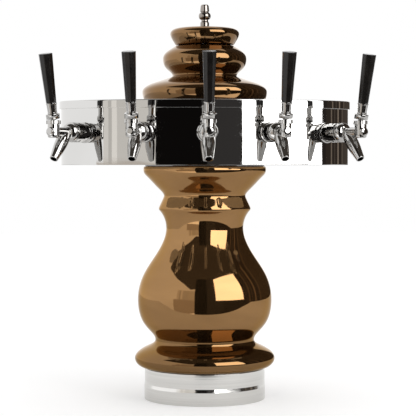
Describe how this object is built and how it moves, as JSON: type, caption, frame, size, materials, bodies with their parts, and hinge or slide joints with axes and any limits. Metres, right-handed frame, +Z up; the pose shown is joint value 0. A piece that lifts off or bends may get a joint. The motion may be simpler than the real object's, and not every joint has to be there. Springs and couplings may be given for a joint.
{
  "type": "beer tower dispenser",
  "caption": "Draught beer tower: turned ceramic column and cap, wide oval mirror header with a row of lever taps along its front, round bolt-down base.",
  "frame": {"origin": "centre of the base flange's underside, on the column's axis", "axes": "+Z up along the column; -Y is the front, the side that the taps face; +X to the right seen from the front"},
  "size_m": [0.5354, 0.3449, 0.6622],
  "materials": {
    "ceramic": "mirror-bright bronze lustre glaze",
    "chrome": "polished chrome plate",
    "tap_chrome": "polished chrome plate over brass",
    "grip": "satin black",
    "steel": "plain stainless steel",
    "seal": "black rubber",
    "foam": "closed-cell foam",
    "tube": "smooth polyethylene"
  },
  "bodies": {
    "tower": {"base_flange": "steel", "base_gasket": "seal", "base_ring": "chrome", "foot_seal": "seal", "ceramic_column": "ceramic", "crown_seal": "seal", "inner_column": "steel", "insulation_sleeve": "foam", "column_screws": "steel", "header_pan": "steel", "header_shell": "chrome", "header_lid": "chrome", "escutcheons": "chrome", "lock_nuts": "steel", "coupling_nuts": "chrome", "coupling_washers": "seal", "bonnets": "tap_chrome", "beer_lines": "tube", "coolant_loop": "tube", "rod_spider": "steel", "rod_nuts": "steel", "finial_rod": "steel", "lower_cap": "ceramic", "upper_cap": "ceramic", "finial": "chrome", "shank_1": "chrome", "shank_2": "chrome", "shank_3": "chrome", "shank_4": "chrome", "shank_5": "chrome", "tap_body_1": "tap_chrome", "tap_body_2": "tap_chrome", "tap_body_3": "tap_chrome", "tap_body_4": "tap_chrome", "tap_body_5": "tap_chrome"},
    "handle_1": {"lever_1": "tap_chrome", "ferrule_1": "tap_chrome", "grip_1": "grip"},
    "stem_1": {"valve_stem_1": "steel"},
    "handle_2": {"lever_2": "tap_chrome", "ferrule_2": "tap_chrome", "grip_2": "grip"},
    "stem_2": {"valve_stem_2": "steel"},
    "handle_3": {"lever_3": "tap_chrome", "ferrule_3": "tap_chrome", "grip_3": "grip"},
    "stem_3": {"valve_stem_3": "steel"},
    "handle_4": {"lever_4": "tap_chrome", "ferrule_4": "tap_chrome", "grip_4": "grip"},
    "stem_4": {"valve_stem_4": "steel"},
    "handle_5": {"lever_5": "tap_chrome", "ferrule_5": "tap_chrome", "grip_5": "grip"},
    "stem_5": {"valve_stem_5": "steel"}
  },
  "joints": [
    {"name": "lever_hinge_1", "type": "hinge", "parent": "tower", "child": "handle_1", "pos_m": [-0.2451, -0.13401, 0.461], "axis": [0.8373, -0.5468, 0], "range_deg": [0, 25]},
    {"name": "stem_slide_1", "type": "slide", "parent": "tower", "child": "stem_1", "axis": [0.5468, 0.8373, 0], "range_m": [0, 0.00526]},
    {"name": "lever_hinge_2", "type": "hinge", "parent": "tower", "child": "handle_2", "pos_m": [-0.12036, -0.18275, 0.461], "axis": [0.9781, -0.2083, 0], "range_deg": [0, 25]},
    {"name": "stem_slide_2", "type": "slide", "parent": "tower", "child": "stem_2", "axis": [0.2083, 0.9781, 0], "range_m": [0, 0.00526]},
    {"name": "lever_hinge_3", "type": "hinge", "parent": "tower", "child": "handle_3", "pos_m": [0, -0.195, 0.461], "axis": [1, 0, 0], "range_deg": [0, 25]},
    {"name": "stem_slide_3", "type": "slide", "parent": "tower", "child": "stem_3", "axis": [0, 1, 0], "range_m": [0, 0.00526]},
    {"name": "lever_hinge_4", "type": "hinge", "parent": "tower", "child": "handle_4", "pos_m": [0.12036, -0.18275, 0.461], "axis": [0.9781, 0.2083, 0], "range_deg": [0, 25]},
    {"name": "stem_slide_4", "type": "slide", "parent": "tower", "child": "stem_4", "axis": [-0.2083, 0.9781, 0], "range_m": [0, 0.00526]},
    {"name": "lever_hinge_5", "type": "hinge", "parent": "tower", "child": "handle_5", "pos_m": [0.2451, -0.13401, 0.461], "axis": [0.8373, 0.5468, 0], "range_deg": [0, 25]},
    {"name": "stem_slide_5", "type": "slide", "parent": "tower", "child": "stem_5", "axis": [-0.5468, 0.8373, 0], "range_m": [0, 0.00526]}
  ],
  "couplings": [
    {"joint": "stem_slide_1", "follows": "lever_hinge_1", "m_per_rad": 0.011827},
    {"joint": "stem_slide_2", "follows": "lever_hinge_2", "m_per_rad": 0.011827},
    {"joint": "stem_slide_3", "follows": "lever_hinge_3", "m_per_rad": 0.011827},
    {"joint": "stem_slide_4", "follows": "lever_hinge_4", "m_per_rad": 0.011827},
    {"joint": "stem_slide_5", "follows": "lever_hinge_5", "m_per_rad": 0.011827}
  ]
}
